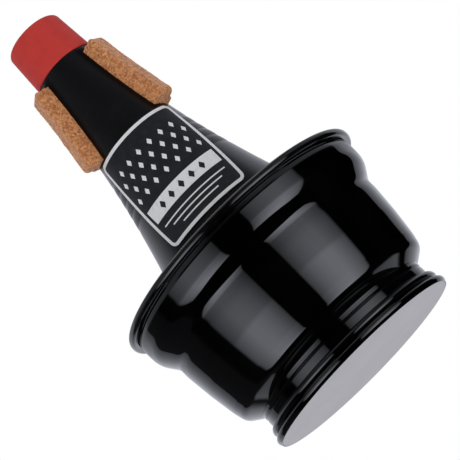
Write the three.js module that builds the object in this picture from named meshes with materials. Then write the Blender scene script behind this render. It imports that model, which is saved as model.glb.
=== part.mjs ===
// Trumpet cup mute: a lined fibre cone with three cork pads, standing in a turned cup.
// Millimetres, +Z up. The origin is the middle of the end disc's outer face.
// The cone's narrow end points up, and the front, with the label, faces -Y.

import * as THREE from 'three';
import { mergeVertices } from 'three/addons/utils/BufferGeometryUtils.js';

// Driving dimensions
const overallLength = 178;
const rimRadius = 55.5;
const rimHeight = 65.2;
const seatGap = 0.3;

// How finely round shapes are divided
const turnSegments = 48;
const arcStep = THREE.MathUtils.degToRad(30);
const coneRows = 9;

// Rim hoop, which closes the cup's edge
const hoopHeight = 3.25;
const hoopOverhang = 2.3;
const hoopFootRound = 1.25;
const hoopTopRound = 1.65;
const hoopInset = 0.2;
const hoopInnerRound = 0.8;

// Cup, outwards steps from the rim in: the shoulder, the waist, the bowl, the ledge and the neck
const cupWall = 1.6;
const mouthWall = 1.9;
const grooveHeight = 2.6;
const grooveDepth = 0.8;
const shoulderTopRadius = rimRadius - hoopOverhang;
const shoulderTopHeight = rimHeight - hoopHeight - grooveHeight;
const shoulderEdgeRound = 0.4;
const shoulderLean = 0.3;
const shoulderDrop = 6.45;
const shoulderRound = 8.7;
const shoulderRadius = shoulderTopRadius - shoulderLean;
const shoulderHeight = shoulderTopHeight - shoulderDrop;
const waistStep = 4.5;
const waistDrop = 6.6;
const waistBand = 4.1;
const waistRound = 5;
const waistRadius = shoulderRadius - waistStep;
const waistTop = shoulderHeight - waistDrop;
const waistFoot = waistTop - waistBand;
const bellyTaper = 0.9;
const bellyRound = 200;
const bellyRadius = waistRadius - bellyTaper;
const bowlTaper = 1.9;
const bowlFootRound = 3;
const bowlFootRadius = bellyRadius - bowlTaper;
const ledgeTaper = 1.1;
const ledgeStep = 5.55;
const ledgeRound = 3.4;
const ledgeRadius = bowlFootRadius - ledgeTaper;
const neckRadius = ledgeRadius - ledgeStep;
const neckRound = 0.4;
const neckTopThickness = 1.3;
const shelfThickness = 1.5;
const shelfWidth = 1.8;

// Base hoop, with its two beads
const lowerBeadHeight = 3;
const lowerBeadRound = 0.9;
const lowerBeadStand = 2.95;
const beadGap = 0.25;
const beadGrooveWall = 0.3;
const upperBeadHeight = 3.45;
const upperBeadFlank = 1.2;
const upperBeadFootRound = 1;
const upperBeadTopRound = 1.5;
const upperBeadStand = 1.85;
const bevelHeight = 1.35;
const bevelRound = 1;
const hoopLand = 0.15;
const baseRadius = neckRadius + lowerBeadStand;
const upperBeadTop = lowerBeadHeight + beadGap + upperBeadHeight;

// Heights of the cup above the base hoop
const neckLength = 5.75;
const ledgeRise = 3.85;
const bowlFootRise = 4.2;
const neckHeight = upperBeadTop + neckLength;
const ledgeHeight = neckHeight + ledgeRise;
const bowlFootHeight = ledgeHeight + bowlFootRise;
const bellyHeight = (bowlFootHeight + waistFoot) / 2;
const shelfHeight = ledgeHeight + shelfThickness;

// Turned line round the neck
const neckLineRise = 3.55;
const neckLineHalfWidth = 0.65;
const neckLineDepth = 0.5;
const neckLineHeight = upperBeadTop + neckLineRise;

// End disc, which stands a little proud of the base hoop
const discThickness = 1.6;
const discStand = 0.12;
const discEdge = 0.9;
const discRadius = baseRadius - discEdge;

// Cone: a trumpet-shaped curve down to its bend, and a straight skirt below it
const coneWall = 2.4;
const coneTipRadius = 11.85;
const coneTipSlopeShare = 0.035;
const coneBendRadius = 29.6;
const coneBendHeight = 72;

// Lining inside the cone
const liningWall = 1.2;

// Tip collar, which caps the cone's narrow end
const collarLength = 18.8;
const collarStand = 0.4;
const collarFootStand = 0.6;
const collarWall = 1.1;
const collarFlange = 1.4;
const collarFootRound = 0.3;
const collarTipRound = 1.2;
const collarMouthRound = 0.5;
const collarFoot = overallLength - collarLength;

// Cork pads
const corkWidth = 9.4;
const corkTopThickness = 5.2;
const corkFootThickness = 5.7;
const corkLength = 35.9;
const corkDrop = 2.7;
const corkTopHeight = collarFoot - corkDrop;
const corkFootHeight = corkTopHeight - corkLength;
const corkTopRise = 1.4;
const corkFootRise = 1.3;
const corkRound = 1.3;
const corkRows = 4;
const corkEndSteps = 2;
const corkPlaces = [
  { name: 'cork_pad_left', azimuth: THREE.MathUtils.degToRad(-65.5) },
  { name: 'cork_pad_right', azimuth: THREE.MathUtils.degToRad(65.5) },
  { name: 'cork_pad_rear', azimuth: THREE.MathUtils.degToRad(180) },
];

// Label, a thin panel that wraps the front of the cone
const labelThickness = 0.3;
const labelGap = 0.2;
const labelHeight = 45.8;
const labelDrop = 1.2;
const labelTop = corkFootHeight - labelDrop;
const labelFoot = labelTop - labelHeight;
const labelFootHalfAngle = THREE.MathUtils.degToRad(38);
const labelTopHalfAngle = THREE.MathUtils.degToRad(66);
const labelRound = 3;
const labelColumns = 16;
const labelRows = 6;
const labelRoundRows = 2;

// Colours and finishes
const finishes = {
  redCollar: { color: 0xac3532, roughness: 0.45, metalness: 0 },
  blackFibre: { color: 0x17181a, roughness: 0.5, metalness: 0 },
  liningStone: { color: 0x8a867e, roughness: 0.95, metalness: 0 },
  cork: { color: 0xb9794c, roughness: 0.9, metalness: 0 },
  labelFoil: { color: 0x2a2c30, roughness: 0.45, metalness: 0.2 },
  blackGloss: { color: 0x050506, roughness: 0.08, metalness: 0 },
  blackSatin: { color: 0x141416, roughness: 0.3, metalness: 0 },
  greyDisc: { color: 0xaaa9af, roughness: 0.6, metalness: 0 },
};

// Radius of the cone's outside at a height, with the collar's rebate left out
const coneTop = overallLength - collarFlange - seatGap;
const coneFoot = shelfHeight + seatGap;
const coneFootRadius = bowlFootRadius - cupWall - seatGap;
function coneRadius(height) {
  if (height < coneBendHeight) {
    const share = (height - coneFoot) / (coneBendHeight - coneFoot);
    return THREE.MathUtils.lerp(coneFootRadius, coneBendRadius, share);
  }
  const share = (coneTop - height) / (coneTop - coneBendHeight);
  const straight = coneTipSlopeShare * (coneTop - coneBendHeight) * share;
  const flare = coneBendRadius - coneTipRadius - coneTipSlopeShare * (coneTop - coneBendHeight);
  return coneTipRadius + straight + flare * share * share;
}

// Points up the cone's curve, a given depth inside its outside
function conePoints(depth, fromHeight, toHeight) {
  const points = [];
  for (let row = 0; row <= coneRows; row += 1) {
    const height = THREE.MathUtils.lerp(fromHeight, toHeight, row / coneRows);
    points.push([coneRadius(height) - depth, height]);
  }
  return points;
}

// Closes a ring of corners, each [radius, height, rounding], and rounds them with arcs
function roundedRing(corners) {
  const points = [];
  corners.forEach(([radius, height, rounding = 0], index) => {
    const corner = new THREE.Vector2(radius, height);
    if (rounding === 0) {
      points.push(corner);
      return;
    }
    const before = corners.at(index - 1);
    const after = corners[(index + 1) % corners.length];
    const back = new THREE.Vector2(before[0], before[1]).sub(corner).normalize();
    const ahead = new THREE.Vector2(after[0], after[1]).sub(corner).normalize();
    const halfAngle = back.angleTo(ahead) / 2;
    const middle = back.clone().add(ahead).normalize();
    const centre = corner.clone().addScaledVector(middle, rounding / Math.sin(halfAngle));
    const reach = rounding / Math.tan(halfAngle);
    const start = corner.clone().addScaledVector(back, reach).sub(centre);
    const sweep = (Math.PI - 2 * halfAngle) * Math.sign(ahead.cross(back));
    const steps = Math.max(1, Math.ceil(Math.abs(sweep) / arcStep));
    for (let step = 0; step <= steps; step += 1) {
      const spoke = start.clone().rotateAround(new THREE.Vector2(), (sweep * step) / steps);
      points.push(centre.clone().add(spoke));
    }
  });
  points.push(points[0].clone());
  return points;
}

// Turns a closed ring of points about the Z axis
function turned(points) {
  const geometry = new THREE.LatheGeometry(points, turnSegments);
  geometry.rotateX(Math.PI / 2);
  return closedShape(geometry);
}

// Merges the shared vertices, so that the shape is one closed surface
function closedShape(geometry) {
  geometry.deleteAttribute('normal');
  geometry.deleteAttribute('uv');
  const closed = mergeVertices(geometry);
  closed.computeVertexNormals();
  return closed;
}

// Builds a closed shape from rings of points. The second half of a ring runs back along the
// first, and the end faces join the two halves point by point.
function lofted(rings) {
  const around = rings[0].length;
  const positions = rings.flat().flatMap((point) => point.toArray());
  const faces = [];
  const addQuad = (a, b, c, d) => faces.push(a, b, c, a, c, d);
  for (let row = 0; row < rings.length - 1; row += 1) {
    for (let place = 0; place < around; place += 1) {
      const next = (place + 1) % around;
      const low = row * around;
      const high = low + around;
      addQuad(low + place, low + next, high + next, high + place);
    }
  }
  const lastRing = (rings.length - 1) * around;
  for (let place = 0; place < around / 2 - 1; place += 1) {
    const facing = around - 1 - place;
    addQuad(place, facing, facing - 1, place + 1);
    addQuad(lastRing + place, lastRing + place + 1, lastRing + facing - 1, lastRing + facing);
  }
  const geometry = new THREE.BufferGeometry();
  geometry.setAttribute('position', new THREE.Float32BufferAttribute(positions, 3));
  geometry.setIndex(faces);
  geometry.computeVertexNormals();
  return geometry;
}

function endDisc() {
  const points = [[0, 0], [discRadius, 0], [discRadius, discThickness], [0, discThickness]];
  return turned(points.map(([radius, height]) => new THREE.Vector2(radius, height)));
}

function baseHoop() {
  const sleeveRadius = neckRadius + seatGap;
  const recessRadius = discRadius + seatGap;
  const recessHeight = discThickness + seatGap;
  const upperBeadFoot = lowerBeadHeight + beadGap;
  const upperBeadRadius = neckRadius + upperBeadStand;
  const beadGrooveRadius = sleeveRadius + beadGrooveWall;
  return turned(roundedRing([
    [baseRadius, bevelHeight, bevelRound],
    [baseRadius, lowerBeadHeight, lowerBeadRound],
    [beadGrooveRadius, lowerBeadHeight],
    [beadGrooveRadius, upperBeadFoot],
    [upperBeadRadius, upperBeadFoot + upperBeadFlank, upperBeadFootRound],
    [upperBeadRadius, upperBeadTop, upperBeadTopRound],
    [sleeveRadius, upperBeadTop],
    [sleeveRadius, recessHeight],
    [recessRadius, recessHeight],
    [recessRadius, discStand],
    [recessRadius + hoopLand, discStand],
  ]));
}

const cupTop = rimHeight - hoopHeight - seatGap;
const mouthRadius = shoulderTopRadius - mouthWall;

function cupShell() {
  const neckFoot = discThickness + seatGap;
  const bowlInner = bowlFootRadius - cupWall;
  return turned(roundedRing([
    [neckRadius, neckFoot],
    [neckRadius, neckLineHeight - neckLineHalfWidth],
    [neckRadius - neckLineDepth, neckLineHeight],
    [neckRadius, neckLineHeight + neckLineHalfWidth],
    [neckRadius, neckHeight, neckRound],
    [ledgeRadius, ledgeHeight, ledgeRound],
    [bowlFootRadius, bowlFootHeight, bowlFootRound],
    [bellyRadius, bellyHeight, bellyRound],
    [waistRadius, waistFoot],
    [waistRadius, waistTop, waistRound],
    [shoulderRadius, shoulderHeight, shoulderRound],
    [shoulderTopRadius, shoulderTopHeight, shoulderEdgeRound],
    [shoulderTopRadius - grooveDepth, cupTop],
    [mouthRadius, cupTop],
    [mouthRadius, shoulderHeight, shoulderRound - cupWall],
    [waistRadius - cupWall, waistTop],
    [waistRadius - cupWall, waistFoot],
    [bowlInner, bowlFootHeight],
    [bowlInner, shelfHeight],
    [bowlInner - shelfWidth, shelfHeight],
    [neckRadius - cupWall, neckHeight + neckTopThickness],
    [neckRadius - cupWall, neckFoot],
  ]));
}

function rimHoop() {
  const foot = rimHeight - hoopHeight;
  const inner = mouthRadius - hoopInset;
  return turned(roundedRing([
    [rimRadius, foot, hoopFootRound],
    [rimRadius, rimHeight, hoopTopRound],
    [inner, rimHeight, hoopInnerRound],
    [inner, foot],
  ]));
}

// Radius of the tip collar's outside at a height, along a straight taper that follows the cone
const collarFootRadius = coneRadius(collarFoot) + collarFootStand;
const collarTipRadius = coneTipRadius + collarStand;
function collarRadius(height) {
  const share = (height - collarFoot) / collarLength;
  return THREE.MathUtils.lerp(collarFootRadius, collarTipRadius, share);
}

function coneShell() {
  const rebateFoot = collarFoot - seatGap;
  const rebate = collarWall + seatGap;
  return turned(roundedRing([
    [coneFootRadius, coneFoot],
    ...conePoints(0, coneBendHeight, rebateFoot),
    [collarRadius(rebateFoot) - rebate, rebateFoot],
    [collarRadius(coneTop) - rebate, coneTop],
    ...conePoints(coneWall, coneTop, coneBendHeight),
    [coneFootRadius - coneWall, coneFoot],
  ]));
}

const liningDepth = coneWall + seatGap;

function stoneLining() {
  return turned(roundedRing([
    [coneFootRadius - liningDepth, coneFoot],
    ...conePoints(liningDepth, coneBendHeight, coneTop),
    ...conePoints(liningDepth + liningWall, coneTop, coneBendHeight),
    [coneFootRadius - liningDepth - liningWall, coneFoot],
  ]));
}

function tipCollar() {
  const flangeFoot = overallLength - collarFlange;
  const mouth = coneTipRadius - liningDepth - liningWall;
  return turned(roundedRing([
    [collarFootRadius, collarFoot, collarFootRound],
    [collarTipRadius, overallLength, collarTipRound],
    [mouth, overallLength, collarMouthRound],
    [mouth, flangeFoot],
    [collarRadius(flangeFoot) - collarWall, flangeFoot],
    [collarFootRadius - collarWall, collarFoot],
  ]));
}

// One level ring of a cork pad, drawn in by an inset. Its back follows the cone.
function corkRing(height, inset) {
  const share = (height - corkFootHeight) / (corkTopHeight - corkFootHeight);
  const thickness = THREE.MathUtils.lerp(corkFootThickness, corkTopThickness, share);
  const endRise = THREE.MathUtils.lerp(corkFootRise, corkTopRise, share);
  const backRadius = coneRadius(height) + seatGap;
  const face = backRadius + thickness - inset;
  const halfWidth = corkWidth / 2 - inset;
  const backPoint = (across) => [across, Math.sqrt(backRadius ** 2 - across ** 2)];
  const backShares = [1, 0.6, 0.2, -0.2, -0.6, -1];
  const corner = new THREE.EllipseCurve(
    corkRound - halfWidth, face - corkRound, corkRound, corkRound, Math.PI, Math.PI / 2, true,
  ).getPoints(2);
  const outline = [
    ...backShares.map((across) => backPoint(across * halfWidth)),
    ...corner.map((point) => [point.x, point.y]),
    ...corner.reverse().map((point) => [-point.x, point.y]),
  ];
  return outline.map(([across, out]) => {
    const rise = (endRise * (out - backRadius)) / thickness;
    return new THREE.Vector3(across, -out, height + rise);
  });
}

function corkPad() {
  const rings = [];
  const addEnd = (endHeight, direction, steps) => steps.forEach((step) => {
    const turn = (step / corkEndSteps) * (Math.PI / 2);
    const height = endHeight + direction * corkRound * (1 - Math.cos(turn));
    rings.push(corkRing(height, corkRound * (1 - Math.sin(turn))));
  });
  const stepsIn = Array.from({ length: corkEndSteps + 1 }, (_, step) => step);
  addEnd(corkFootHeight, 1, stepsIn);
  for (let row = 1; row < corkRows; row += 1) {
    rings.push(corkRing(THREE.MathUtils.lerp(corkFootHeight, corkTopHeight, row / corkRows), 0));
  }
  addEnd(corkTopHeight, -1, stepsIn.reverse());
  return lofted(rings);
}

// Half the angle that the label spans at a height, with its corners rounded
function labelHalfAngle(height) {
  const share = (height - labelFoot) / (labelTop - labelFoot);
  const straight = THREE.MathUtils.lerp(labelFootHalfAngle, labelTopHalfAngle, share);
  const edgeDistance = Math.min(height - labelFoot, labelTop - height, labelRound);
  const cut = labelRound - Math.sqrt(labelRound ** 2 - (labelRound - edgeDistance) ** 2);
  return straight - cut / coneRadius(height);
}

function labelHeights() {
  const heights = [];
  for (let row = 0; row < labelRoundRows; row += 1) {
    heights.push(labelFoot + labelRound * (1 - Math.cos((row / labelRoundRows) * (Math.PI / 2))));
  }
  for (let row = 0; row <= labelRows; row += 1) {
    heights.push(THREE.MathUtils.lerp(labelFoot + labelRound, labelTop - labelRound, row / labelRows));
  }
  for (let row = labelRoundRows - 1; row >= 0; row -= 1) {
    heights.push(labelTop - labelRound * (1 - Math.cos((row / labelRoundRows) * (Math.PI / 2))));
  }
  return heights;
}

function label() {
  const rings = labelHeights().map((height) => {
    const halfAngle = labelHalfAngle(height);
    const back = coneRadius(height) + labelGap;
    const ring = [];
    const addRow = (radius, direction) => {
      for (let column = 0; column <= labelColumns; column += 1) {
        const angle = direction * halfAngle * ((2 * column) / labelColumns - 1);
        ring.push(new THREE.Vector3(radius * Math.sin(angle), -radius * Math.cos(angle), height));
      }
    };
    addRow(back + labelThickness, 1);
    addRow(back, -1);
    return ring;
  });
  return lofted(rings);
}

// Adds one named mesh to the group and returns it
function addPiece(group, name, geometry, finish) {
  const mesh = new THREE.Mesh(geometry, new THREE.MeshStandardMaterial(finish));
  mesh.name = name;
  group.add(mesh);
  return mesh;
}

const mute = new THREE.Group();
mute.name = 'trumpet_cup_mute';
addPiece(mute, 'end_disc', endDisc(), finishes.greyDisc);
addPiece(mute, 'base_hoop', baseHoop(), finishes.blackGloss);
addPiece(mute, 'cup_shell', cupShell(), finishes.blackGloss);
addPiece(mute, 'rim_hoop', rimHoop(), finishes.blackSatin);
addPiece(mute, 'cone_shell', coneShell(), finishes.blackFibre);
addPiece(mute, 'stone_lining', stoneLining(), finishes.liningStone);
addPiece(mute, 'tip_collar', tipCollar(), finishes.redCollar);
addPiece(mute, 'label', label(), finishes.labelFoil);
corkPlaces.forEach(({ name, azimuth }) => {
  addPiece(mute, name, corkPad(), finishes.cork).rotation.z = azimuth;
});

export default mute;
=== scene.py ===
# Trumpet cup mute: a lined black cone with cork pads, standing in a gloss black turned cup.
# The cone points up, the label faces -Y, and the middle of the end disc's outer face is the origin.
import math

import bpy
from mathutils import Matrix, Quaternion, Vector, noise


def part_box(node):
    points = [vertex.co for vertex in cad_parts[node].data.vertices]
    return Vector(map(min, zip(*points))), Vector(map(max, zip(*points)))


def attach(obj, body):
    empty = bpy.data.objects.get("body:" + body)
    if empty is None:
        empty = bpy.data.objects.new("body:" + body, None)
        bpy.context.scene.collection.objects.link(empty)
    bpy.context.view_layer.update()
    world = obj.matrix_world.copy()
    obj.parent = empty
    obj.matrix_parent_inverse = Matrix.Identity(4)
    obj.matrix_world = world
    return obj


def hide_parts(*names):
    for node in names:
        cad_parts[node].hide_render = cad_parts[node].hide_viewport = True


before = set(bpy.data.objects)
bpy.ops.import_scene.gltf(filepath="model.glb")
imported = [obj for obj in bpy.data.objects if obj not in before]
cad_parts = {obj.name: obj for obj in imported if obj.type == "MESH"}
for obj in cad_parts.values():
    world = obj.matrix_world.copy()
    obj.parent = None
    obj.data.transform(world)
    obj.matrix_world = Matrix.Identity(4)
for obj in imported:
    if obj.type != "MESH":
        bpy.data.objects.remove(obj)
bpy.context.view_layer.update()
print("frame loaded:", len(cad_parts), "CAD nodes")

mm = 0.001  # lengths below are millimetres, and mm turns them to Blender's metres
fullTurn = 2 * math.pi
seat = 0.02  # least gap between two pieces that touch
tiny = 1e-6  # anything less counts as nothing


def cadBox(node):  # lowest and highest corner of a CAD node, in millimetres
    low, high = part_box(node)
    return low / mm, high / mm


def blend(low, high, share):
    return low + (high - low) * share


def turned(radius, angle, height):  # a point at an angle round from the front
    return Vector((radius * math.sin(angle), -radius * math.cos(angle), height))


def placed(name, data):  # an object in the scene
    item = bpy.data.objects.new(name, data)
    bpy.context.scene.collection.objects.link(item)
    return item


def meshObject(name, points, faces, material):
    mesh = bpy.data.meshes.new(name)
    mesh.from_pydata([Vector(point) * mm for point in points], [], faces)
    mesh.materials.append(material)
    return placed(name, mesh)


# Shader maths

def both(operation):  # an operator and its reflected form
    return (lambda self, other: self.maths(operation, self, other),
            lambda self, other: self.maths(operation, other, self))


class Wire:
    # One output socket. Sums and products of wires add Math nodes, so a formula reads as one.
    def __init__(self, paint, socket):
        self.paint, self.socket = paint, socket

    def maths(self, operation, *values):
        return self.paint.node("Math", {"operation": operation}, dict(enumerate(values)))

    __add__, __radd__ = both("ADD")
    __sub__, __rsub__ = both("SUBTRACT")
    __mul__, __rmul__ = both("MULTIPLY")
    __truediv__, __rtruediv__ = both("DIVIDE")

    def size(self):
        return self.maths("ABSOLUTE", self)

    def most(self, other):
        return self.maths("MAXIMUM", self, other)

    def least(self, other):
        return self.maths("MINIMUM", self, other)

    def step(self, start, end):  # 0 below start, 1 above end, smooth between
        ends = {"Value": self, "From Min": start, "From Max": end}
        return self.paint.node("MapRange", {"interpolation_type": "SMOOTHSTEP"}, ends)

    def stretched(self, scale):  # a vector times a vector
        return self.paint.node("VectorMath", {"operation": "MULTIPLY"}, {0: self, 1: scale})

    def shifted(self, other):  # a vector plus a vector
        return self.paint.node("VectorMath", {"operation": "ADD"}, {0: self, 1: other})


class Paint:
    # The node tree of a material or world.
    def __init__(self, owner):
        owner.use_nodes = True
        self.owner, self.tree = owner, owner.node_tree
        self.tree.nodes.clear()

    def node(self, kind, settings=None, sockets=None, output=0):
        made = self.tree.nodes.new("ShaderNode" + kind)
        for key, value in (settings or {}).items():
            if key == "stops":
                while len(made.color_ramp.elements) < len(value):
                    made.color_ramp.elements.new(1)
                for element, (place, colour) in zip(made.color_ramp.elements, value):
                    element.position, element.color = place, (*colour, 1)
            else:
                setattr(made, key, value)
        for key, value in (sockets or {}).items():
            if isinstance(value, Wire):
                self.tree.links.new(value.socket, made.inputs[key])
            else:
                made.inputs[key].default_value = value
        return Wire(self, made.outputs[output] if made.outputs else None)

    def place(self):  # the point on the surface, in millimetres
        point = self.node("TexCoord", output="Object")
        return point.stretched((1 / mm, 1 / mm, 1 / mm))

    def parts(self, vector):
        split = self.node("SeparateXYZ", {}, {0: vector})
        return [Wire(self, output) for output in split.socket.node.outputs]

    def grain(self, point, grainSize, detail=2.0, roughness=0.5):  # soft noise, about 0.5
        values = {"Vector": point, "Scale": 1 / grainSize, "Detail": detail, "Roughness": roughness}
        return self.node("TexNoise", {}, values)

    def cells(self, point, cellSize, feature="F1", output="Distance"):
        values = {"Vector": point, "Scale": 1 / cellSize}
        return self.node("TexVoronoi", {"feature": feature}, values, output)

    def mix(self, first, second, factor, way="MIX"):  # colours
        settings = {"data_type": "RGBA", "blend_type": way, "clamp_factor": True}
        values = {0: factor, 6: self.colour(first), 7: self.colour(second)}
        return self.node("Mix", settings, values, output=2)

    def ramp(self, value, stops):
        return self.node("ValToRGB", {"stops": stops}, {0: value})

    def bump(self, height, depth):  # height is a share of depth
        return self.node("Bump", {}, {"Height": height, "Distance": depth * mm})

    def colour(self, value):
        return value if isinstance(value, Wire) else (*value, 1)

    def finish(self, values):
        ready = {}
        for key, value in values.items():
            ready[key] = self.colour(value) if "Color" in key or "Tint" in key else value
        surface = self.node("BsdfPrincipled", {}, ready)
        self.node("OutputMaterial", {}, {"Surface": surface})
        return self.owner


def newPaint(name):
    return Paint(bpy.data.materials.new(name))


def between(value, rise, flat, drop, end):  # 1 from flat to drop, 0 beyond rise and end
    return value.step(rise, flat) * (1 - value.step(drop, end))


# Materials. Each coat gives its colour, the roughness that its marks add, its relief, and any
# other sockets that vary. In its look, a range is the two values of a noise between which a mark
# comes in, a share is how much of it shows, and depth is the height of the relief.

def finished(coat, look):
    paint = newPaint(coat.__name__)
    colour, rough, relief, *others = coat(paint, paint.place(), look)
    sockets = {
        "Base Color": colour,
        "Roughness": rough + look["roughness"],
        "Normal": paint.bump(relief, look["depth"]),
        **look.get("sockets", {}),
    }
    for other in others:
        sockets.update(other)
    return paint.finish(sockets)


glossLook = {
    "black": (0.0004, 0.0004, 0.0005),
    "dust": (0.0012, 0.0012, 0.0014),
    "smudgeSize": 22, "smudgeRange": (0.45, 0.8), "smudgeRough": 0.04,
    "rippleSize": 26,
    "roughness": 0.03, "depth": 0.010,
    "sockets": {"IOR": 1.5},
}


def glossLacquer(paint, point, look):
    smudge = paint.grain(point, look["smudgeSize"], detail=4).step(*look["smudgeRange"])
    ripple = paint.grain(point, look["rippleSize"], detail=1)
    tint = paint.mix(look["black"], look["dust"], smudge)
    return tint, smudge * look["smudgeRough"], ripple


lipLook = {
    "black": (0.0012, 0.0012, 0.0014),
    "worn": (0.006, 0.006, 0.0065),
    "rubSize": 3.2, "rubStretch": (1, 1, 6), "rubRange": (0.5, 0.75), "rubRough": 0.06,
    "pitSize": 1.2,
    "roughness": 0.08, "depth": 0.004,
    "sockets": {"IOR": 1.5},
}


def lipLacquer(paint, point, look):
    rub = paint.grain(point.stretched(look["rubStretch"]), look["rubSize"], detail=5)
    rub = rub.step(*look["rubRange"])
    pits = paint.grain(point, look["pitSize"], detail=3)
    return paint.mix(look["black"], look["worn"], rub), rub * look["rubRough"], pits


coneWraps = {  # the wraps of the cone's board, which both its mesh and its lacquer show
    "foot": 93.8, "height": 4.6, "count": 4,
    "groove": 0.14, "step": 0.46,  # depth of the seams, and spacing of the mesh across them
}
coneLook = {
    "black": (0.0012, 0.0012, 0.0014),
    "worn": (0.004, 0.004, 0.0045),
    "wornShare": 0.35,
    "patchSize": 9, "patchRange": (0.4, 0.7), "patchRough": 0.05,
    "fibreSize": 0.9, "fibreStretch": (1, 1, 0.25), "fibreRough": 0.08,
    # Painted glint: a paler tint along the wrap seams stands in for the sheen they catch; the seams
    # themselves are real grooves in the mesh.
    "seam": (0.05, 0.05, 0.055),
    "seamStart": 0.86,  # from 0 at the middle of a wrap to 1 at its edges
    "seamShare": 0.5,
    "wrapEdge": 0.01,  # softness of the foot and the top of the wrapped part, in wraps
    "wrapThin": (0.55, 0.99),  # shares of a wrap's height below which the lacquer thins
    "thinShare": 0.55,
    "padAngle": 65.6,
    "padFade": 1.5,
    "padDull": (5.7, 8.2),  # distances from a pad's middle over which the painted shade beside the pads fades and the shine comes back
    "roughness": 0.2, "depth": 0.007,
    "sockets": {"IOR": 1.18, "Coat Roughness": 0.22, "Coat IOR": 1.37},
}


def coneLacquer(paint, point, look):
    fibre = paint.grain(point.stretched(look["fibreStretch"]), look["fibreSize"], detail=3)
    patch = paint.grain(point, look["patchSize"], detail=3).step(*look["patchRange"])
    rough = fibre * look["fibreRough"] + patch * look["patchRough"]
    tint = paint.mix(look["black"], look["worn"], patch * look["wornShare"])
    x, y, z = paint.parts(point)

    row = (z - coneWraps["foot"]) / coneWraps["height"]
    edge, count = look["wrapEdge"], coneWraps["count"]
    wrapped = between(row, -edge, edge, count - edge, count + edge)
    rise = row.maths("FRACT", row)
    seam = wrapped * (rise * 2 - 1).size().step(look["seamStart"], 1)
    thin = wrapped * (1 - rise.step(*look["wrapThin"])) * look["thinShare"]

    # Painted shade: less coat in a band along each side pad darkens the cone's reflection there,
    # standing in for the shade between pad and cone.
    turn = math.radians(look["padAngle"])
    aside = (x.size() * math.cos(turn) + y * math.sin(turn)).size()
    low, high = cadBox("cork_pad_left")
    beside = between(z, low.z - look["padFade"], low.z, high.z, high.z + look["padFade"])
    dull = beside * (1 - aside.step(*look["padDull"]))
    # painted glint along the wrap seams
    tint = paint.mix(tint, look["seam"], seam * look["seamShare"])
    return tint, rough, fibre, {"Coat Weight": (1 - thin) * (1 - dull)}


innerLook = {
    "black": (0.009, 0.009, 0.01),
    "pale": (0.02, 0.02, 0.021),
    "ringSize": 1.0, "ringStretch": (0.2, 0.2, 2.5), "ringRange": (0.4, 0.8), "ringRough": 0.12,
    "roughness": 0.42, "depth": 0.02,
}


def innerLacquer(paint, point, look):
    rings = paint.grain(point.stretched(look["ringStretch"]), look["ringSize"])
    tint = paint.mix(look["black"], look["pale"], rings.step(*look["ringRange"]))
    return tint, rings * look["ringRough"], rings


discLook = {
    "grey": (0.42, 0.415, 0.45),
    "pale": (0.44, 0.435, 0.47),
    "cloudSize": 18, "cloudRange": (0.35, 0.65),
    "fleck": (0.36, 0.355, 0.38), "fleckRange": (0.55, 0.8), "fleckShare": 0.25,
    "fibreSize": 0.35, "fibreRough": 0.12,
    "roughness": 0.62, "depth": 0.012,
}


def discBoard(paint, point, look):
    cloud = paint.grain(point, look["cloudSize"], detail=3).step(*look["cloudRange"])
    fibre = paint.grain(point, look["fibreSize"], detail=4, roughness=0.7)
    fleck = fibre.step(*look["fleckRange"]) * look["fleckShare"]
    tint = paint.mix(look["grey"], look["pale"], cloud)
    return paint.mix(tint, look["fleck"], fleck), fibre * look["fibreRough"], fibre


collarLook = {
    "red": (0.47, 0.034, 0.028),
    "deep": (0.37, 0.024, 0.02), "deepShare": 0.4,
    "cloudSize": 5, "cloudRange": (0.45, 0.75), "cloudRough": 0.12,
    "cloudRelief": 2,  # height of the clouds, in pebbles
    "pebbleSize": 0.45,
    "roughness": 0.5, "depth": 0.02,
    "sockets": {"Specular IOR Level": 0.2},
}


def collarVinyl(paint, point, look):
    pebble = paint.cells(point, look["pebbleSize"], "SMOOTH_F1")
    cloud = paint.grain(point, look["cloudSize"], detail=4)
    deep = cloud.step(*look["cloudRange"]) * look["deepShare"]
    relief = pebble + cloud * look["cloudRelief"]
    return paint.mix(look["red"], look["deep"], deep), cloud * look["cloudRough"], relief


stoneLook = {
    "pale": (0.34, 0.31, 0.27),
    "dark": (0.14, 0.125, 0.11),
    "crumbSize": 0.8, "crumbRange": (0.2, 0.9), "crumbRelief": 0.8,
    "dust": (0.45, 0.42, 0.38), "dustSize": 0.3, "dustRange": (0.55, 0.75), "dustShare": 0.5,
    "dustRough": 0.1, "dustRelief": 0.6,
    "roughness": 0.88, "depth": 0.16,
}


def stoneCrust(paint, point, look):
    crumb = paint.cells(point, look["crumbSize"])
    dust = paint.grain(point, look["dustSize"], detail=5, roughness=0.65)
    dusty = dust.step(*look["dustRange"]) * look["dustShare"]
    relief = dust * look["dustRelief"] - crumb * look["crumbRelief"]
    tint = paint.mix(look["pale"], look["dark"], crumb.step(*look["crumbRange"]))
    return paint.mix(tint, look["dust"], dusty), dust * look["dustRough"], relief


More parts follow.
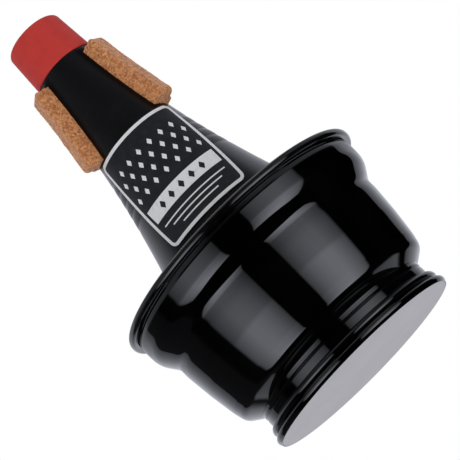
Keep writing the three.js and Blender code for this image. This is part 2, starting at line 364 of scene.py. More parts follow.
corkLook = {
    "granuleSize": 0.78,
    "speckSize": 0.42,
    "dustSize": 0.22,
    "warpScale": 1.1, "warpReach": (0.5, 0.5, 0.5),  # bends the granules' outlines
    "toneShares": (0.62, 0.3, 0.5),  # of granules, specks and dust
    "toneDrop": 0.22,
    "tones": (  # from dark specks to the palest granules
        (0.0, (0.1, 0.032, 0.011)),
        (0.16, (0.34, 0.115, 0.035)),
        (0.45, (0.5, 0.194, 0.065)),
        (0.8, (0.67, 0.315, 0.137)),
    ),
    "binder": (0.3, 0.1, 0.035), "binderWidth": 0.09, "binderShare": 0.55,
    "granuleRound": 0.25,
    "reliefShares": (0.6, 0.5, 0.25),  # of granules, dust and each granule's own height
    "dustRough": 0.15,
    "roughness": 0.78, "depth": 0.16,
    "sockets": {
        "Sheen Weight": 0.34,
        "Sheen Roughness": 0.45,
        "Sheen Tint": (1.0, 0.86, 0.8),
    },
}


def corkGranules(paint, point, look):
    warpNoise = {"Vector": point, "Scale": look["warpScale"], "Detail": 2.0}
    warp = paint.node("TexNoise", {}, warpNoise, "Color")
    bent = point.shifted(warp.stretched(look["warpReach"]))
    size = look["granuleSize"]
    shade = paint.parts(paint.cells(bent, size, output="Color"))[0]
    edge = paint.cells(bent, size, "DISTANCE_TO_EDGE")
    speck = paint.parts(paint.cells(bent, look["speckSize"], output="Color"))[1]
    dust = paint.grain(point, look["dustSize"], detail=4, roughness=0.65)

    shadeTone, speckTone, dustTone = look["toneShares"]
    tone = shade * shadeTone + speck * speckTone + dust * dustTone - look["toneDrop"]
    binder = (1 - edge.step(0.0, look["binderWidth"])) * look["binderShare"]
    roundRelief, dustRelief, shadeRelief = look["reliefShares"]
    relief = edge.step(0.0, look["granuleRound"]) * roundRelief
    relief = relief + dust * dustRelief + shade * shadeRelief
    tint = paint.mix(paint.ramp(tone, look["tones"]), look["binder"], binder)
    return tint, dust * look["dustRough"], relief


panelLook = {
    "charcoal": (0.0045, 0.005, 0.0085),
    "pale": (0.0095, 0.01, 0.0145),
    "cloudSize": 2.2, "cloudRange": (0.4, 0.7),
    "fibreSize": 0.3, "fibreStretch": (1, 1, 0.4), "fibreRough": 0.12,
    "roughness": 0.4, "depth": 0.008,
    "sockets": {"IOR": 1.41},
}


def panelInk(paint, point, look):
    cloud = paint.grain(point, look["cloudSize"], detail=4).step(*look["cloudRange"])
    fibre = paint.grain(point.stretched(look["fibreStretch"]), look["fibreSize"], detail=3)
    tint = paint.mix(look["charcoal"], look["pale"], cloud)
    return tint, fibre * look["fibreRough"], fibre


foilLook = {
    "silver": (0.755, 0.76, 0.79),
    "dull": (0.61, 0.615, 0.64),
    "cloudSize": 1.6, "cloudRange": (0.5, 0.8), "cloudRough": 0.15,
    "roughness": 0.42, "depth": 0.01,
    "sockets": {"Metallic": 0.25},
}


def silverFoil(paint, point, look):
    cloud = paint.grain(point, look["cloudSize"], detail=5, roughness=0.6)
    tint = paint.mix(look["silver"], look["dull"], cloud.step(*look["cloudRange"]))
    return tint, cloud * look["cloudRough"], cloud


coats = {
    glossLacquer: glossLook, lipLacquer: lipLook, coneLacquer: coneLook, innerLacquer: innerLook,
    discBoard: discLook, collarVinyl: collarLook, stoneCrust: stoneLook, corkGranules: corkLook,
    panelInk: panelLook, silverFoil: foilLook,
}
finishes = {coat: finished(coat, look) for coat, look in coats.items()}
print("materials made:", len(finishes))


# Meshes

turning = {"segments": 288, "arcStep": math.radians(5), "straightStep": 1.0, "sharpAngle": 38}


def roundedOutline(corners):
    # Closed outline of corners (radius, height) or (radius, height, rounding).
    points = []
    count = len(corners)
    for index, (radius, height, *rounding) in enumerate(corners):
        corner = Vector((radius, height))
        if not rounding:
            points.append(corner)
            continue
        back = (Vector(corners[index - 1][:2]) - corner).normalized()
        ahead = (Vector(corners[(index + 1) % count][:2]) - corner).normalized()
        halfAngle = math.acos(max(-1, min(1, back.dot(ahead)))) / 2
        centre = corner + (back + ahead).normalized() * (rounding[0] / math.sin(halfAngle))
        spoke = corner + back * (rounding[0] / math.tan(halfAngle)) - centre
        sweep = math.pi - 2 * halfAngle
        side = -1 if back.cross(ahead) > 0 else 1
        steps = max(2, math.ceil(sweep / turning["arcStep"]))
        for step in range(steps + 1):
            reach = spoke.copy()
            reach.rotate(Matrix.Rotation(side * sweep * step / steps, 2))
            points.append(centre + reach)
    return evenOutline(points)


def evenOutline(points):  # adds points along straight stretches, so that shading stays flat there
    even = []
    for index, point in enumerate(points):
        following = points[(index + 1) % len(points)]
        onAxis = point.x == 0 and following.x == 0
        gap = (following - point).length
        steps = 1 if onAxis else max(1, math.ceil(gap / turning["straightStep"]))
        even += [point.lerp(following, step / steps) for step in range(steps)]
    return even


def newPiece(name, points, faces, material, replaced=(), inner=None):
    piece = meshObject(name, points, faces, finishes[material])
    mesh = piece.data
    mesh.validate()
    mesh.polygons.foreach_set("use_smooth", [True] * len(mesh.polygons))
    mesh.set_sharp_from_angle(angle=math.radians(turning["sharpAngle"]))
    if inner:
        innerMaterial, isInner = inner
        mesh.materials.append(finishes[innerMaterial])
        for face in mesh.polygons:
            if isInner(face.center / mm, face.normal):
                face.material_index = 1
    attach(piece, "root")
    if replaced:
        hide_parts(*replaced)
    return piece


def turnedPiece(name, corners, material, replaced, inner=None, reshape=None):
    # Turns a closed outline about the Z axis.
    segments = turning["segments"]
    points, rings = [], []
    for spot in roundedOutline(corners):
        if spot.x < tiny:  # on the axis
            rings.append([len(points)] * segments)
            points.append((0, 0, spot.y))
            continue
        rings.append(range(len(points), len(points) + segments))
        for segment in range(segments):
            angle = fullTurn * segment / segments
            radius, height = reshape(spot.x, spot.y, angle) if reshape else spot
            points.append(turned(radius, angle, height))
    faces = []
    for ring, following in zip(rings, rings[1:] + rings[:1]):
        for here in range(segments):
            there = (here + 1) % segments
            loop = [ring[here], ring[there], following[there], following[here]]
            loop = [spot for place, spot in enumerate(loop) if spot != loop[place - 1]]
            if len(loop) > 2:
                faces.append(loop)
    return newPiece(name, points, faces, material, replaced, inner)


# End disc

discSize = {"edgeRound": 0.35}


def makeEndDisc():
    low, high = cadBox("end_disc")
    edge = discSize["edgeRound"]
    corners = [
        (0, low.z),
        (high.x, low.z, edge),
        (high.x, high.z, edge),
        (0, high.z),
    ]
    turnedPiece("endDisc", corners, discBoard, ["end_disc"])


# Base hoop with its two beads

baseSize = {
    "lowerBeadHeight": 2.9, "lowerBeadRound": 1.0,
    "bevelHeight": 1.35, "bevelRound": 1.0,
    "beadGap": 0.35,
    "upperBeadSet": 1.1, "upperFlank": 1.2, "upperFootRound": 1.0, "upperTopRound": 1.8,
    "grooveSet": 2.35,
    "discGap": 0.06,
    "land": 0.2, "landRound": 0.08,
}


def makeBaseHoop():
    size = baseSize
    low, high = cadBox("base_hoop")
    discHigh = cadBox("end_disc")[1]
    neck = cupNeckRadius + seat
    recess = discHigh.x + size["discGap"]
    upperFoot = size["lowerBeadHeight"] + size["beadGap"]
    upper = high.x - size["upperBeadSet"]
    groove = high.x - size["grooveSet"]
    corners = [
        (high.x, size["bevelHeight"], size["bevelRound"]),
        (high.x, size["lowerBeadHeight"], size["lowerBeadRound"]),
        (groove, size["lowerBeadHeight"]),
        (groove, upperFoot),
        (upper, upperFoot + size["upperFlank"], size["upperFootRound"]),
        (upper, high.z, size["upperTopRound"]),
        (neck, high.z),
        (neck, discHigh.z + seat),
        (recess, discHigh.z + seat),
        (recess, low.z),
        (recess + size["land"], low.z, size["landRound"]),
    ]
    turnedPiece("baseHoop", corners, glossLacquer, ["base_hoop"])


# Cup, whose steps go inwards from the rim to the neck

cupSize = {
    "wall": 1.6,
    "mouthWall": 1.9,
    "grooveDepth": 0.8, "grooveHeight": 2.3,
    "crown": (0.85, 1.95, 0.2, 9.5),  # foot, top, depth and rounding of the shoulder's crown
    "shoulderLean": 0.3, "shoulderDrop": 6.45, "shoulderRound": 8.7,
    "waistStep": 4.5, "waistDrop": 6.6, "waistBand": 4.1, "waistRound": 5,
    "bellyTaper": 0.9, "bellyRound": 200,
    "bowlTaper": 1.9, "bowlFootRound": 3,
    "ledgeTaper": 1.1, "ledgeStep": 5.55, "ledgeRound": 4.2,
    "neckRound": 0.4, "neckLength": 5.55,
    "neckLine": (3.55, 0.65, 0.5, 0.1),  # rise above the base hoop, half width, depth, rounding
    "ledgeRise": 3.95,
    "bowlFootRise": 4.2,
    "waistInnerRound": (4, 2),  # foot and top
    "bowlInnerRound": 4,
    "shelfThickness": 1.5, "shelfWidth": 1.8, "shelfRound": 0.4,
    "neckThickness": 1.3, "neckInnerRound": 1.5,
}
cupLow, cupHigh = cadBox("cup_shell")
shoulderTop = cupHigh.x
shoulderRadius = shoulderTop - cupSize["shoulderLean"]
waistRadius = shoulderRadius - cupSize["waistStep"]
bellyRadius = waistRadius - cupSize["bellyTaper"]
bowlFootRadius = bellyRadius - cupSize["bowlTaper"]
ledgeRadius = bowlFootRadius - cupSize["ledgeTaper"]
cupNeckRadius = ledgeRadius - cupSize["ledgeStep"]
mouthRadius = shoulderTop - cupSize["mouthWall"]


def makeCup():
    size = cupSize
    shoulderTopHeight = cupHigh.z - size["grooveHeight"]
    shoulderHeight = shoulderTopHeight - size["shoulderDrop"]
    waistTop = shoulderHeight - size["waistDrop"]
    waistFoot = waistTop - size["waistBand"]
    beadTop = cadBox("base_hoop")[1].z
    neckHeight = beadTop + size["neckLength"]
    lineRise, lineHalf, lineDepth, lineRound = size["neckLine"]
    lineHeight = beadTop + lineRise
    crownFoot, crownTop, crownDepth, crownRound = size["crown"]
    ledgeHeight = neckHeight + size["ledgeRise"]
    bowlFootHeight = ledgeHeight + size["bowlFootRise"]
    bellyHeight = blend(bowlFootHeight, waistFoot, 0.5)
    groove = shoulderTop - size["grooveDepth"]
    wall = size["wall"]
    waistInner = waistRadius - wall
    waistFootRound, waistTopRound = size["waistInnerRound"]
    bowlInner = bowlFootRadius - wall
    shelf, shelfRound = ledgeHeight + size["shelfThickness"], size["shelfRound"]
    corners = [
        (cupNeckRadius, cupLow.z),
        (cupNeckRadius, lineHeight - lineHalf, lineRound),
        (cupNeckRadius - lineDepth, lineHeight),
        (cupNeckRadius, lineHeight + lineHalf, lineRound),
        (cupNeckRadius, neckHeight, size["neckRound"]),
        (ledgeRadius, ledgeHeight, size["ledgeRound"]),
        (bowlFootRadius, bowlFootHeight, size["bowlFootRound"]),
        (bellyRadius, bellyHeight, size["bellyRound"]),
        (waistRadius, waistFoot),
        (waistRadius, waistTop, size["waistRound"]),
        (shoulderRadius, shoulderHeight, size["shoulderRound"]),
        (shoulderTop, shoulderTopHeight + crownFoot, crownRound),
        (shoulderTop - crownDepth, shoulderTopHeight + crownTop),
        (groove, shoulderTopHeight + crownTop),
        (groove, cupHigh.z),
        (mouthRadius, cupHigh.z),
        (mouthRadius, shoulderHeight, size["shoulderRound"] - wall),
        (waistInner, waistTop, waistTopRound),
        (waistInner, waistFoot, waistFootRound),
        (bowlInner, bowlFootHeight, size["bowlInnerRound"]),
        (bowlInner, shelf, shelfRound),
        (bowlInner - size["shelfWidth"], shelf, shelfRound),
        (cupNeckRadius - wall, neckHeight + size["neckThickness"], size["neckInnerRound"]),
        (cupNeckRadius - wall, cupLow.z),
    ]

    def isInner(centre, normal):
        return centre.x * normal.x + centre.y * normal.y < 0

    inner = (innerLacquer, isInner)
    turnedPiece("cup", corners, glossLacquer, ["cup_shell"], inner)


# Rim hoop, rolled over the cup's edge

hoopSize = {"footRound": 1.3, "topRound": 1.4, "innerRound": 0.8, "inset": 0.2}


def makeRimHoop():
    size = hoopSize
    low, high = cadBox("rim_hoop")
    inner = mouthRadius - size["inset"]
    corners = [
        (high.x, low.z, size["footRound"]),
        (high.x, high.z, size["topRound"]),
        (inner, high.z, size["innerRound"]),
        (inner, low.z),
    ]
    turnedPiece("rimHoop", corners, lipLacquer, ["rim_hoop"])


# Cone: a trumpet-shaped curve down to its bend, and a straight skirt below it

coneSize = {
    "wall": 2.4,
    "tipRadius": 11.85, "tipSlope": 0.035,
    "bendRadius": 29.6, "bendHeight": 72,
    "rebateDepth": 1.1,
    "step": 1.5,
}
coneLow, coneHigh = cadBox("cone_shell")


def coneRadius(height):
    size = coneSize
    if height < size["bendHeight"]:
        share = (height - coneLow.z) / (size["bendHeight"] - coneLow.z)
        return blend(coneHigh.x, size["bendRadius"], share)
    rise = coneHigh.z - size["bendHeight"]
    share = (coneHigh.z - height) / rise
    flare = size["bendRadius"] - size["tipRadius"] - size["tipSlope"] * rise
    return size["tipRadius"] + size["tipSlope"] * rise * share + flare * share ** 2


def conePoints(depth, fromHeight, toHeight, spacing=coneSize["step"]):
    steps = math.ceil(abs(toHeight - fromHeight) / spacing)
    heights = [blend(fromHeight, toHeight, step / steps) for step in range(steps + 1)]
    return [(coneRadius(height) - depth, height) for height in heights]


def wrappedPoints(fromHeight, toHeight):  # the outside, where each wrap is a little crowned
    wraps = coneWraps
    low = wraps["foot"] - wraps["height"] / 2
    high = low + (wraps["count"] + 1) * wraps["height"]
    carved = []
    for radius, height in conePoints(0, low, high, wraps["step"]):
        share = (height - low) / wraps["height"] % 1
        carved.append((radius - wraps["groove"] * (1 - abs(2 * share - 1)) ** 2, height))
    return conePoints(0, fromHeight, low)[:-1] + carved + conePoints(0, high, toHeight)[1:]


def makeCone():
    size = coneSize
    rebate = size["rebateDepth"] + seat
    corners = [
        (coneHigh.x, coneLow.z),
        *wrappedPoints(size["bendHeight"], collarLow.z - seat),
        (collarRadius(collarLow.z) - rebate, collarLow.z - seat),
        (collarRadius(coneHigh.z) - rebate, coneHigh.z),
        *conePoints(size["wall"], coneHigh.z, size["bendHeight"]),
        (coneHigh.x - size["wall"], coneLow.z),
    ]
    turnedPiece("cone", corners, coneLacquer, ["cone_shell"])


# Lining inside the cone, rough with mineral crumbs

liningSize = {"wall": 1.2, "roughness": 0.16, "crumbSize": 1.3}


def makeLining():
    size = liningSize
    depth = coneSize["wall"] + seat

    def crumbs(radius, height, angle):
        if radius >= coneRadius(height) - depth - size["wall"] / 2:  # the side glued to the cone
            return radius, height
        spot = Vector((radius * math.sin(angle), radius * math.cos(angle), height))
        return radius + size["roughness"] * noise.noise(spot / size["crumbSize"]), height

    corners = [
        (coneHigh.x - depth, coneLow.z),
        *conePoints(depth, coneSize["bendHeight"], coneHigh.z),
        *conePoints(depth + size["wall"], coneHigh.z, coneSize["bendHeight"]),
        (coneHigh.x - depth - size["wall"], coneLow.z),
    ]
    turnedPiece("lining", corners, stoneCrust, ["stone_lining"], reshape=crumbs)


# Tip collar

collarSize = {
    "stand": 0.4,
    "wall": 1.1,
    "flange": 1.4,
    "footRound": 0.45,
    "tipRound": 1.3,
    "mouthRound": 0.6, "mouthGap": 0.3,
    "waver": 0.12, "waverReach": 4, "waverPace": 2.3,
}
collarLow, collarHigh = cadBox("tip_collar")


def collarRadius(height):
    share = (height - collarLow.z) / (collarHigh.z - collarLow.z)
    return blend(collarHigh.x, coneSize["tipRadius"] + collarSize["stand"], share)


def makeCollar():
    size = collarSize
    flangeFoot = collarHigh.z - size["flange"]
    mouth = coneSize["tipRadius"] - coneSize["wall"] - liningSize["wall"] - size["mouthGap"]
    foot = collarHigh.x
    tip = coneSize["tipRadius"] + size["stand"]

    def waver(radius, height, angle):  # the foot's edge is trimmed by hand
        share = max(0, 1 - (height - collarLow.z) / size["waverReach"])
        swell = noise.noise(Vector((math.sin(angle), math.cos(angle), 0)) * size["waverPace"])
        return radius, height + size["waver"] * share * (swell + 1) / 2

    corners = [
        (foot, collarLow.z, size["footRound"]),
        (tip, collarHigh.z, size["tipRound"]),
        (mouth, collarHigh.z, size["mouthRound"]),
        (mouth, flangeFoot),
        (collarRadius(flangeFoot) - size["wall"], flangeFoot),
        (foot - size["wall"], collarLow.z),
    ]
    turnedPiece("collar", corners, collarVinyl, ["tip_collar"], reshape=waver)


# Cork pads

corkSize = {
    "width": 9.2,
    "drop": 2.7,
    "length": 35.7,
    "topRise": 1.4,
    "footRise": 1.5,
    "round": 1.0,
    "footRound": 1.7,
    "footFade": 5,  # the foot's rounding is gone after one part in this many
    "gridStep": 0.3,
    "granuleDepth": 0.11, "granuleSize": 0.8,
    "creaseWidth": 0.4, "creaseShare": 0.6,
    "swell": 0.16, "swellSize": 5,
    "chip": 0.45, "chipSize": 1.7,
    "glueFade": 4,  # the relief is all there after one part in this many of the thickness
}
corkPlaces = {  # thickness and skew at the foot, then at the top, and the bevel's length and depth
    "corkLeft": {
        "node": "cork_pad_left", "azimuth": -65.3, "seed": 3,
        "thickness": (5.45, 5.15), "skew": (-6.5, 0.0), "bevel": (1.5, 0.4),
    },
    "corkRight": {
        "node": "cork_pad_right", "azimuth": 66, "seed": 17,
        "thickness": (5.95, 5.05), "skew": (-7.0, 2.0), "bevel": (3.0, 0.5),
    },
    "corkRear": {
        "node": "cork_pad_rear", "azimuth": 180, "seed": 31,
        "thickness": (5.6, 5.1), "skew": (2.0, -3.0), "bevel": (3.5, 1.0),
    },
}


def blockGrid(counts):
    # Points of a box's surface, as shares of its sides from 0 to 1, and its faces.
    index, points, faces = {}, [], []

    def vertex(place):
        if place not in index:
            index[place] = len(points)
            points.append([spot / count for spot, count in zip(place, counts)])
        return index[place]

    for axis in range(3):
        first, second = (axis + 1) % 3, (axis + 2) % 3
        for side in (0, counts[axis]):
            for i in range(counts[first]):
                for j in range(counts[second]):
                    loop = []
                    for di, dj in ((0, 0), (1, 0), (1, 1), (0, 1)):
                        place = [0, 0, 0]
                        place[axis], place[first], place[second] = side, i + di, j + dj
                        loop.append(vertex(tuple(place)))
                    faces.append(loop if side else loop[::-1])
    return points, faces


def roundedCork(share, sides, seed):
    # A point of the block with its edges rounded and chipped, except those glued to the cone.
    size = corkSize
    block = Vector([(part - 0.5) * side for part, side in zip(share, sides)])
    rounding = blend(size["footRound"], size["round"], min(1, share[2] * size["footFade"]))
    chipped = noise.noise(block / size["chipSize"] + Vector((seed, 0, 0)))
    rounding += size["chip"] * max(0, chipped)
    core = Vector([max(rounding - side / 2, min(side / 2 - rounding, part))
                   for part, side in zip(block, sides)])
    core.y = min(core.y, block.y)
    if block.y < 0:
        sharp = min(1, -block.y / rounding)
        core = Vector((blend(core.x, block.x, sharp), block.y, blend(core.z, block.z, sharp)))
    off = block - core
    if off.length > tiny:
        off = off.normalized() * min(off.length, rounding)
    return core + off


def granulated(point, share, sides, seed):
    # The point moved outwards or inwards by the cork's swells and granules.
    size = corkSize
    spot = point + seed * Vector((7, 1, 3))  # each cork has a noise of its own
    swell = noise.noise(spot / size["swellSize"]) * size["swell"]
    near, far = noise.voronoi(spot / size["granuleSize"])[0][:2]
    crease = min(far - near, size["creaseWidth"]) / size["creaseWidth"]
    granule = (crease - size["creaseShare"]) * size["granuleDepth"]
    outward = Vector([(part > 1 - tiny) - (part < tiny) for part in share])
    outward.y = max(0, outward.y)
    if outward.length > 0:
        outward.normalize()
    grow = (swell + granule) * min(1, (point.y / sides[1] + 0.5) * size["glueFade"])
    return point + outward * grow


def makeCork(name, node, azimuth, seed, thickness, skew, bevel):
    size = corkSize
    sides = (size["width"], max(thickness), size["length"])
    shares, faces = blockGrid([math.ceil(side / size["gridStep"]) for side in sides])
    foot = collarLow.z - size["drop"] - size["length"]
    turn = Matrix.Rotation(math.radians(azimuth), 3, "Z")
    footSlant, topSlant = [math.tan(math.radians(angle)) for angle in skew]
    bevelLength, bevelDepth = bevel
    points = []
    for share in shares:
        point = granulated(roundedCork(share, sides, seed), share, sides, seed)
        across = point.x
        outShare = max(0, point.y / sides[1] + 0.5)  # 1 at the outer face
        alongShare = point.z / sides[2] + 0.5
        height = foot + alongShare * size["length"]
        back = coneRadius(height) + 2 * seat
        level = math.sqrt(back ** 2 - across ** 2)
        depth = blend(level, back + blend(*thickness, alongShare), outShare)
        cut = max(0, 1 - (1 - alongShare) * size["length"] / bevelLength)
        depth -= bevelDepth * cut ** 2 * outShare
        height += blend(size["footRise"], size["topRise"], alongShare) * outShare
        height += across * blend(footSlant, 0, min(1, 2 * alongShare))
        height += across * blend(0, topSlant, max(0, 2 * alongShare - 1))
        points.append(turn @ Vector((across, -depth, height)))
    newPiece(name, points, faces, corkGranules, [node])


# Label: a charcoal panel with silver foil marks, bent round the cone

labelSize = {
    "footHalfAngle": 38,
    "topHalfAngle": 66,
    "round": 3,
    "leastRound": 0.01,
    "lift": 0.06,
    "panelThickness": 0.24,
    "foilThickness": 0.07, "foilGap": 0.01,
    "step": 0.6,
    "rowStep": 0.35,
    "edgeSteps": 60,
}
labelLow, labelHigh = cadBox("label")


def onCone(across, height, lift):
    # A point at a height on the cone, an arc length across from its front.
    radius = coneRadius(height)
    return turned(radius + lift, across / radius, height)


def labelHalfWidth(height, inset):
    size = labelSize
    share = (height - labelLow.z) / (labelHigh.z - labelLow.z)
    angle = math.radians(blend(size["footHalfAngle"], size["topHalfAngle"], share))
    rounding = max(size["leastRound"], size["round"] - inset)
    edge = min(height - labelLow.z, labelHigh.z - height) - inset
    edge = max(0, min(edge, rounding))
    cut = rounding - math.sqrt(rounding ** 2 - (rounding - edge) ** 2)
    return angle * coneRadius(height) - inset - cut


def foil(name, strips, level, material):
    # Each strip is two edges of (across, height) points. It becomes a thin closed solid on the
    # cone, between the two lifts in level. A strip whose ends meet becomes a ring.
    points, faces = [], []
    for left, right in strips:
        closed = left[0] == left[-1]
        if closed:
            left, right = left[:-1], right[:-1]
        span = max((Vector(a) - Vector(b)).length for a, b in zip(left, right))
        rows, columns = len(left), max(1, math.ceil(span / labelSize["step"]))
        start = len(points)
        for lift in level:
            for a, b in zip(left, right):
                for column in range(columns + 1):
                    points.append(onCone(*Vector(a).lerp(Vector(b), column / columns), lift))

        def side(order, *corners):  # a face through corners given as row, column and layer
            loop = [start + (layer * rows + row % rows) * (columns + 1) + column
                    for row, column, layer in corners]
            faces.append(loop[::order])

        for row in range(rows if closed else rows - 1):
            above = row + 1
            for column in range(columns):
                for layer, order in ((1, 1), (0, -1)):
                    side(order, (row, column, layer), (row, column + 1, layer),
                         (above, column + 1, layer), (above, column, layer))
            for column, order in ((0, 1), (columns, -1)):
                side(order, (row, column, 0), (row, column, 1),
                     (above, column, 1), (above, column, 0))
        for column in range(0 if closed else columns):
            for row, order in ((0, 1), (rows - 1, -1)):
                side(order, (row, column, 0), (row, column + 1, 0),
                     (row, column + 1, 1), (row, column, 1))
    return newPiece(name, points, faces, material)


def steps(start, end, gap):
    count = max(1, math.ceil(abs(end - start) / gap))
    return [blend(start, end, step / count) for step in range(count + 1)]


def fieldStrip(low, high, inset):  # the part of the label between two heights
    heights = steps(low, high, labelSize["rowStep"])
    left = [(-labelHalfWidth(height, inset), height) for height in heights]
    right = [(labelHalfWidth(height, inset), height) for height in heights]
    return left, right


def fieldEdge(inset):  # once round the label, a distance in from its edge
    foot, top = labelLow.z + inset, labelHigh.z - inset
    shares = [step / labelSize["edgeSteps"] for step in range(labelSize["edgeSteps"] + 1)]
    heights = [blend(foot, top, (1 - math.cos(math.pi * share)) / 2) for share in shares]
    right = [(labelHalfWidth(height, inset), height) for height in heights]
    left = [(-across, height) for across, height in right[::-1]]
    edge = right[:-1]
    edge += [(blend(right[-1][0], left[0][0], share), top) for share in shares[:-1]]
    edge += left[:-1]
    edge += [(blend(left[-1][0], right[0][0], share), foot) for share in shares]
    return edge


def gem(across, height, halfWidth, halfHeight):  # a diamond
    tip = labelArt["gemTip"]
    shape = ((-halfHeight, tip), (0, halfWidth), (halfHeight, tip))
    left = [(across - half, height + rise) for rise, half in shape]
    right = [(across + half, height + rise) for rise, half in shape]
    return left, right


labelArt = {
    "edge": 0.25,
    "border": 1.35,
    "gemTip": 0.05,
    "bandFoot": 12.0, "bandHeight": 6.4, "bandInset": 3.0, "bandGem": (1.25, 1.8),
    "bandGemGap": 5.0,
    "latticeFoot": 23.5, "latticeGap": (5.4, 4.3), "latticeRows": 4, "latticeGem": (1.0, 1.5),
    "latticeInset": 4.2,
    "ruleHeights": (4.2, 6.4, 8.6), "ruleWidth": 0.55, "ruleInset": (11.0, 7.5, 4.4),
}


def makeLabel():
    size, art = labelSize, labelArt
    layer = size["lift"] + size["panelThickness"]
    field = fieldStrip(labelLow.z, labelHigh.z, 0)
    panel = foil("labelPanel", [field], (size["lift"], layer), panelInk)
    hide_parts("label")
    gap, thickness = size["foilGap"], size["foilThickness"]
    silver = (layer + gap, layer + gap + thickness)
    ink = (silver[1] + gap, silver[1] + gap + thickness)
    ring = fieldEdge(art["edge"]), fieldEdge(art["edge"] + art["border"])
    foil("labelBorder", [ring[::-1]], silver, silverFoil)

    foot = labelLow.z + art["bandFoot"]
    band = fieldStrip(foot, foot + art["bandHeight"], art["bandInset"])
    foil("labelBand", [band], silver, silverFoil)
    middle = foot + art["bandHeight"] / 2
    reach = labelHalfWidth(middle, art["bandInset"]) - 2 * art["bandGem"][0]
    count = int(reach / art["bandGemGap"])
    spots = [place * art["bandGemGap"] for place in range(-count, count + 1)]
    marks = [gem(spot, middle, *art["bandGem"]) for spot in spots]
    foil("labelBandMarks", marks, ink, panelInk)

    gems = []
    gapAcross, gapUp = art["latticeGap"]
    for row in range(art["latticeRows"]):
        height = labelLow.z + art["latticeFoot"] + row * gapUp
        reach = labelHalfWidth(height, art["latticeInset"])
        most = math.ceil(reach / gapAcross)
        for place in range(-most, most + 1):
            across = (place + row % 2 / 2) * gapAcross
            if abs(across) < reach:
                gems.append(gem(across, height, *art["latticeGem"]))
    foil("labelDiamonds", gems, silver, silverFoil)

    rules = []
    for rise, inset in zip(art["ruleHeights"], art["ruleInset"]):
        foot = labelLow.z + rise
        rules.append(fieldStrip(foot, foot + art["ruleWidth"], inset))
    foil("labelRules", rules, silver, silverFoil)


makeEndDisc()
makeBaseHoop()
makeCup()
makeRimHoop()
makeCone()
makeLining()
makeCollar()
for name, cork in corkPlaces.items():
    makeCork(name, **cork)
makeLabel()


# Camera, at the photograph's viewing angle: below the base, rolled so that the cone points up
# and left

shot = {
    "place": (0, -639, -86.9),
    "aim": (0.37, 0, 70.3),
    "roll": -45.47,
    "focalPixels": 1793.25,
    "imagePixels": 460,
    "sensor": 36,
    "clip": (0.01, 50),  # in metres
}


def makeCamera():
    place, aim = Vector(shot["place"]) * mm, Vector(shot["aim"]) * mm
    lens = bpy.data.cameras.new("camera")
    lens.sensor_width = shot["sensor"]
    lens.lens = shot["focalPixels"] * shot["sensor"] / shot["imagePixels"]
    lens.clip_start, lens.clip_end = shot["clip"]
    camera = placed("camera", lens)
    camera.location = place
    camera.rotation_mode = "QUATERNION"
    roll = Quaternion((0, 0, 1), math.radians(shot["roll"]))
    camera.rotation_quaternion = (aim - place).to_track_quat("-Z", "Y") @ roll
    bpy.context.scene.camera = camera


makeCamera()
print("camera set")


# Floor: pale, and seen from above only, because the photograph looks up from below it

floorLook = {
    "radius": 700,
    "fadeStart": 260,
    "drop": 0.3,
    "pale": (0.88, 0.88, 0.88),
    "grey": (0.84, 0.84, 0.84),
    "cloudSize": 60,
    "roughness": 0.9,
}
stageSides = 96  # of the stage's round meshes


def stageMesh(name, points, faces, material):
    item = meshObject(name, points, faces, material)
    item.visible_diffuse = item.visible_transmission = item.visible_shadow = False
    return item


def stageDisc(name, radius, height, material):
    points, faces = [(0, 0, height)], []
    for side in range(stageSides):
        points.append(turned(radius, fullTurn * side / stageSides, height))
        faces.append((0, side + 1, (side + 1) % stageSides + 1))
    return stageMesh(name, points, faces, material)


def makeFloor():
    look = floorLook
    paint = newPaint("palePaper")
    point = paint.place()
    across = paint.node("VectorMath", {"operation": "LENGTH"}, {0: point}, "Value")
    under = paint.node("NewGeometry", output="Backfacing")
    fade = 1 - across.step(look["fadeStart"], look["radius"])
    cloud = paint.grain(point, look["cloudSize"])
    material = paint.finish({
        "Base Color": paint.mix(look["pale"], look["grey"], cloud),
        "Roughness": look["roughness"],
        "Specular IOR Level": 0.0,
        "Alpha": fade * (1 - under),
    })
    stageDisc("floor", look["radius"], -look["drop"], material).visible_glossy = False


makeFloor()
print("floor laid")


# Reflected stage, seen by glossy surfaces only: a dark surround that turns white at the back and
# above, with a softbox on each hand in front of it

